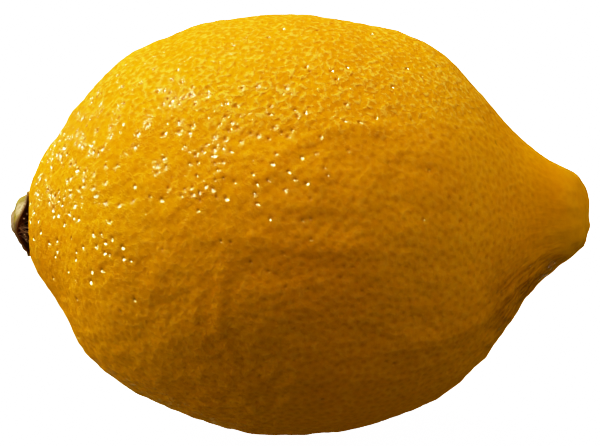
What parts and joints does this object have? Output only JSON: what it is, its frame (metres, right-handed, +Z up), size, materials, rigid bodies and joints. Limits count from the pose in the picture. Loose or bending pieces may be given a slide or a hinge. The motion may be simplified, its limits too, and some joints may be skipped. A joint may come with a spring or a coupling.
{
  "type": "lemon",
  "caption": "Whole ripe lemon lying on its side, with pored peel, a blunt nipple at one end and the dried woody button of its stalk at the other.",
  "frame": {"origin": "centre of the bounding box's base, on the surface that the lemon lies on", "axes": "+X along the fruit from the stalk's button to the nipple, +Z up, +Y level across the fruit"},
  "size_m": [0.0876, 0.0648, 0.0634],
  "materials": {
    "peel": "waxy, pored citrus peel, semi-gloss",
    "calyx": "dry, matt, olive to tan"
  },
  "bodies": {
    "root": {"fruit": "peel", "calyx_button": "calyx"}
  },
  "joints": []
}
